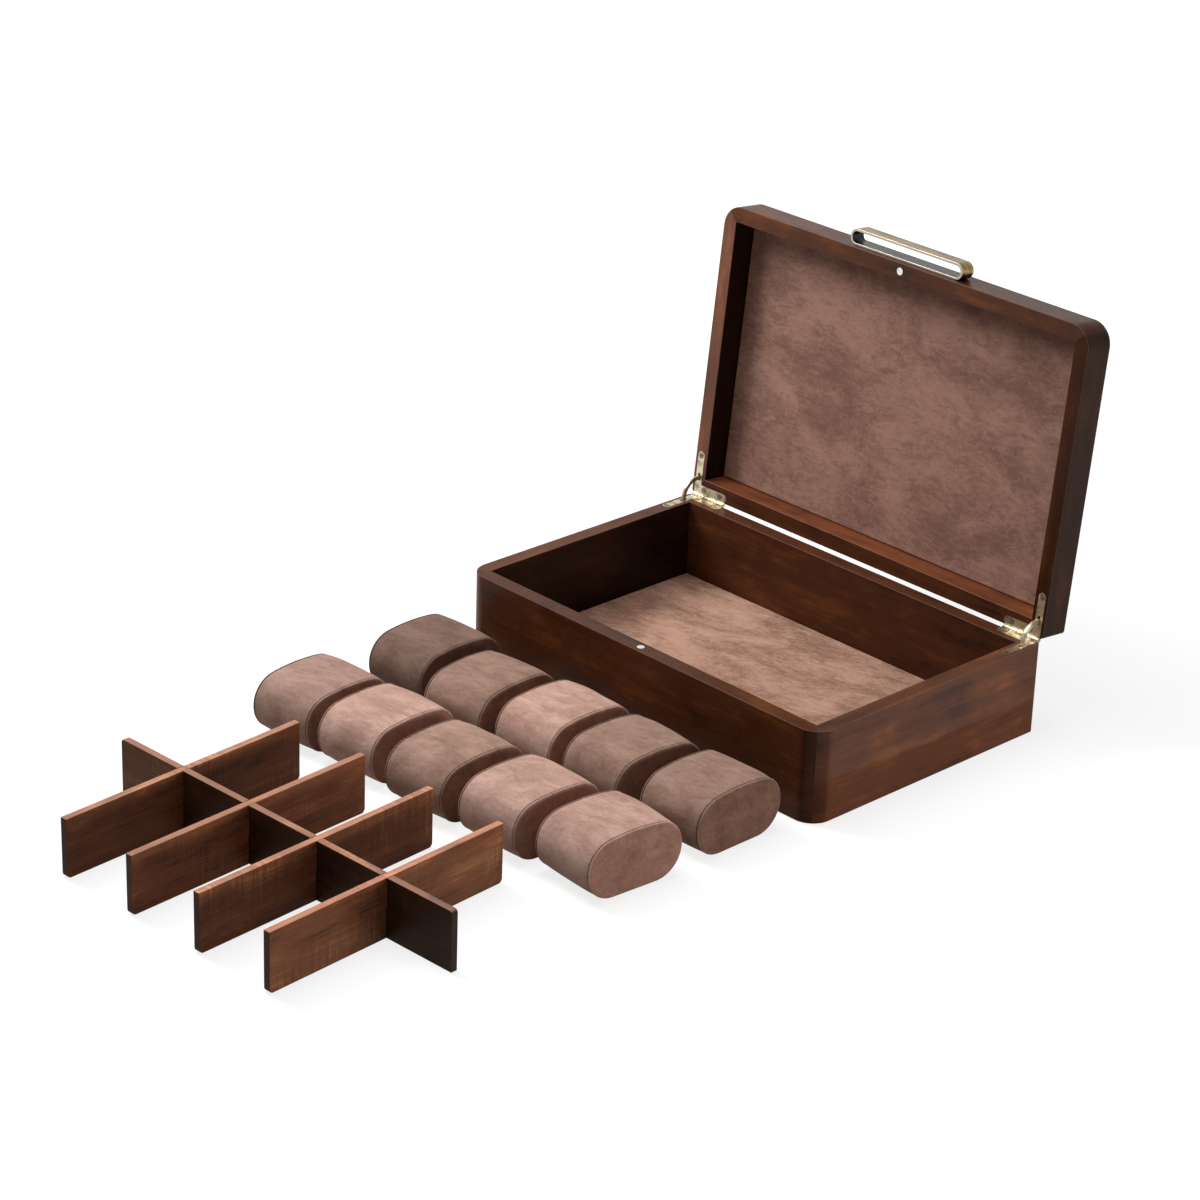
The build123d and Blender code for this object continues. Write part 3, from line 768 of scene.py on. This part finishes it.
def swell(covers):
    """Runs the cloth simulation on all covers at once, and keeps its result in their meshes."""
    scene = bpy.context.scene
    before = {}
    for cover, pinned, _ in covers:
        group = cover.vertex_groups.new(name="seams")
        group.add(pinned, 1.0, "REPLACE")
        cloth = cover.modifiers.new("foam", "CLOTH")
        for setting, value in suede_cloth.items():
            setattr(cloth.settings, setting, value)
        cloth.settings.effector_weights.gravity = 0
        cloth.collision_settings.use_collision = False
        cloth.collision_settings.use_self_collision = False
        cloth.point_cache.frame_start = 1
        cloth.point_cache.frame_end = sim_frames
        before[cover.name] = np.array([v.co for v in cover.data.vertices])
    for moment in range(1, sim_frames + 1):
        scene.frame_set(moment)
    depsgraph = bpy.context.evaluated_depsgraph_get()
    for cover, _, _ in covers:
        after = np.array([v.co for v in cover.evaluated_get(depsgraph).data.vertices])
        start = before[cover.name]
        moved = after - start
        length = np.linalg.norm(moved, axis=1, keepdims=True)
        kept = start + moved * np.minimum(1, furthest / np.maximum(length, 1e-9))
        kept[:, 2] = np.maximum(kept[:, 2], 0)
        cover.modifiers.clear()
        cover.vertex_groups.clear()
        cover.data.vertices.foreach_set("co", kept.ravel())
        cover.data.update()
        print(cover.name, "moved up to", round(float(length.max()) / mm, 2), "mm")
    scene.frame_set(1)


swell(list(pillows.values()))

# %% Stand the covers in place
for number, (cover, _, slot_name) in pillows.items():
    cover.data.transform(stand_of(f"pillow_{number}_cover"))
    smoothing = cover.modifiers.new("smoothing", "SUBSURF")
    smoothing.levels = smoothing.render_levels = 1
    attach(cover, f"pillow_{number}")
    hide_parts(f"pillow_{number}_cover")

# %% [markdown]
# ## Seam stitches
#
# Each seam is closed with small stitches, a dotted line down in the dark of the seam. One stitch is a short
# thick thread that dips at both ends, and the ring of them lies in the seam.

# %% Sew the seams
stitch_pitch = 2.6 * mm
stitch_half = 0.8 * mm
stitch_sunk = 0.45
stitch_dip = 0.18 * mm
thread_radius = 0.2 * mm
thread_taper = 0.75
thread_sides = 6
thread_rings = (-1, -0.6, 0, 0.6, 1)
faces_of_stitch = thread_sides * (len(thread_rings) - 1) + 2
small_step = 0.1 * mm
above_table = 0.01 * mm


def thread_finish(name, colour, light):
    """Twisted thread, in a tone of the pillow's suede."""
    material, tree, shader = start_finish(name, Roughness=0.8, Specular_IOR_Level=0.3, Sheen_Weight=0.3)
    coords = add_node(tree, "TexCoord").outputs
    twist = cloudy(tree, laid(tree, coords["Object"], 0.0004), 2)
    tree.links.new(blended(tree, spread(tree, twist, 0.35, 0.65), colour, light), shader.inputs["Base Color"])
    tree.links.new(raised(tree, twist, 0.05 * mm, 0.5), shader.inputs["Normal"])
    return material


brown_thread = thread_finish("thread_brown", srgb(52, 36, 30), srgb(84, 62, 54))
rose_thread = thread_finish("thread_rose", srgb(60, 40, 34), srgb(96, 70, 60))


def stitches(name, material):
    """All stitches of one pillow's two seams, at the origin."""
    ring = outline(seam_depth * stitch_sunk, end_draw)
    closed = np.vstack([ring, ring[:1]])
    steps = np.linalg.norm(np.diff(closed, axis=0), axis=1)
    lengths = np.concatenate([[0], np.cumsum(steps)])
    count = int(lengths[-1] / stitch_pitch)
    places, faces = [], []
    for end in (-1, 1):
        for number in range(count):
            middle = lengths[-1] * (number + 0.5) / count
            first = len(places)
            for share in thread_rings:
                spot = middle + share * stitch_half
                y, z = (np.interp(spot, lengths, closed[:, axis]) for axis in range(2))
                next_y, next_z = (np.interp(spot + small_step, lengths, closed[:, axis]) for axis in range(2))
                way = np.array((next_y - y, next_z - z)) / max(np.hypot(next_y - y, next_z - z), 1e-9)
                out = np.array((way[1], -way[0]))
                radius = thread_radius * (1 - thread_taper * abs(share) ** 3)
                for corner in range(thread_sides):
                    angle = math.tau * corner / thread_sides
                    lift = radius * math.sin(angle) - stitch_dip * share ** 2
                    places.append((end * seam_reach + radius * math.cos(angle), y + out[0] * lift,
                                   max(above_table, z + out[1] * lift)))
            for start in range(first, len(places) - thread_sides, thread_sides):
                for corner in range(thread_sides):
                    a = start + corner
                    b = start + (corner + 1) % thread_sides
                    faces.append((a, b, b + thread_sides, a + thread_sides))
            faces.append(tuple(first + corner for corner in reversed(range(thread_sides))))
            faces.append(tuple(len(places) - thread_sides + corner for corner in range(thread_sides)))
    return new_piece(name, places, faces, material)


for number, (_, _, slot_name) in pillows.items():
    sewn = stitches(f"pillow_{number}_stitching", rose_thread if number in rosy else brown_thread)
    sewn.data.transform(stand_of(f"pillow_{number}_cover"))
    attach(sewn, f"pillow_{number}")
print("stitches on one pillow:", len(sewn.data.polygons) // faces_of_stitch)

# %% [markdown]
# ## The foam inside
#
# The foam cores are hidden in their covers. They still get a finish, for anyone who opens a pillow.

# %% Finish the foam
foam, foam_tree, foam_shader = start_finish("foam", Roughness=0.9, Specular_IOR_Level=0.2)
foam_coords = add_node(foam_tree, "TexCoord").outputs["Object"]
cells = cloudy(foam_tree, laid(foam_tree, foam_coords, 0.0012), 2)
foam_colour = blended(foam_tree, cells, srgb(196, 186, 160), srgb(226, 218, 196))
foam_tree.links.new(foam_colour, foam_shader.inputs["Base Color"])
foam_tree.links.new(raised(foam_tree, cells, 0.3 * mm, 0.6), foam_shader.inputs["Normal"])
for number in pillows:
    dress(f"pillow_{number}_core", foam)

# %% [markdown]
# ## The table
#
# The photograph has a pure white ground. The floor is a plain pale sheet that keeps the soft shadows, and
# for the camera and for mirrors it glows white, so that no extra light has to fall on the box to make the
# ground white.

# %% Lay the floor
floor_half = 3.0
floor_drop = 0.3 * mm
set_middle = (0, -0.15, 0)
shadow_reach, white_reach = 0.45, 1.2


def seen_directly(tree):
    """1 for what the camera, a mirror or a glass sees of a surface, and 0 for the light that leaves it."""
    rays = add_node(tree, "LightPath").outputs
    seen = sums(tree, "MAXIMUM", rays["Is Camera Ray"], rays["Is Glossy Ray"])
    return sums(tree, "MAXIMUM", seen, rays["Is Transmission Ray"])


ground, ground_tree, ground_shader = start_finish("table_paper", Roughness=1.0, Specular_IOR_Level=0.0)
ground_shader.inputs["Base Color"].default_value = (0.35, 0.35, 0.35, 1)
on_table = add_node(ground_tree, "TexCoord").outputs["Object"]
from_set = add_node(ground_tree, "VectorMath", {0: on_table, 1: set_middle}, operation="DISTANCE")
brightness = spread(ground_tree, from_set.outputs["Value"], shadow_reach, white_reach, 0.8, 1.0)
glow = add_node(ground_tree, "Emission", {"Color": (1, 1, 1, 1), "Strength": brightness})
dim = add_node(ground_tree, "BsdfDiffuse", {"Color": (0.3, 0.3, 0.3, 1)})
white = add_node(ground_tree, "AddShader", {0: glow.outputs[0], 1: dim.outputs[0]})
sides = {0: seen_directly(ground_tree), 1: ground_shader.outputs[0], 2: white.outputs[0]}
both = add_node(ground_tree, "MixShader", sides)
ground_tree.links.new(both.outputs[0], ground_tree.nodes["Material Output"].inputs["Surface"])

corners = [(x * floor_half, y * floor_half, -floor_drop) for x, y in ((-1, -1), (1, -1), (1, 1), (-1, 1))]
table = new_piece("table", corners, [(0, 1, 2, 3)], ground)
print("table:", round(2 * floor_half, 1), "metres wide")

# %% [markdown]
# ## Light
#
# One large soft window hangs above. A smaller one shines from high at the front left into the open lid, and
# a low card lights the right side. The front gets only what is left of the room's light, which is why the
# box's front is its darkest side. The lamps are set so that a colour comes out about as it is written.

# %% Set the lamps


def window(name, place, aim, width, height, power):
    """A soft rectangular lamp that looks at a point."""
    lamp = bpy.data.lights.new(name, "AREA")
    lamp.shape = "RECTANGLE"
    lamp.size, lamp.size_y = width, height
    lamp.energy = power
    stand = bpy.data.objects.new(name, lamp)
    stand.location = place
    stand.rotation_euler = (Vector(aim) - Vector(place)).to_track_quat("-Z", "Y").to_euler()
    bpy.context.scene.collection.objects.link(stand)


window("top_window", (-0.3, -0.1, 1.5), (0, -0.15, 0.05), 1.0, 1.0, 13)
window("lid_window", (-0.83, -0.42, 1.0), (0, 0.08, 0.13), 0.5, 0.5, 11)
window("right_card", (1.3, 0.15, 0.15), (0.16, 0, 0.06), 0.7, 0.25, 6)

world = bpy.data.worlds.new("room")
bpy.context.scene.world = world
world.use_nodes = True
room = world.node_tree
sky = room.nodes["Background"]
sky.inputs["Color"].default_value = (1, 1, 1, 1)
room_light = 0.15
room.links.new(spread(room, seen_directly(room), 0, 1, room_light, 1.0), sky.inputs["Strength"])
print("lamps:", [lamp.name for lamp in bpy.data.lights])

# %% [markdown]
# ## The camera
#
# The view was solved from the box's own corners in the photograph: 46 degrees round from the front, 24
# degrees up, with a long lens. The camera looks along one line, so its three axes are worked out and put in
# a matrix.

# %% Place the camera
image_size = 1200
focal_pixels = 3578.275
around, above, tilt = (math.radians(angle) for angle in (45.75067, 24.44871, 1.98975))
look_at = Vector((0, 0, 60)) * mm
distance = 2338.7039 * mm
shift_right, shift_up = -97.2756 * mm, 6.99 * mm

backward = Vector((math.sin(around) * math.cos(above), -math.cos(around) * math.cos(above), math.sin(above)))
level = Vector((math.cos(around), math.sin(around), 0))
upward = backward.cross(level)
camera_right = math.cos(tilt) * level + math.sin(tilt) * upward
camera_up = math.cos(tilt) * upward - math.sin(tilt) * level
spot = look_at + backward * distance + camera_right * shift_right + camera_up * shift_up

lens = bpy.data.cameras.new("portrait")
lens.sensor_width = 36
lens.lens = 36 * focal_pixels / image_size
lens.clip_start, lens.clip_end = 0.05, 20
camera = bpy.data.objects.new("portrait", lens)
axes = Matrix((camera_right, camera_up, backward)).transposed()
camera.matrix_world = Matrix.Translation(spot) @ axes.to_4x4()
bpy.context.scene.collection.objects.link(camera)
bpy.context.scene.camera = camera
bpy.context.scene.view_settings.view_transform = "Standard"
print("camera at", tuple(round(v, 3) for v in spot))
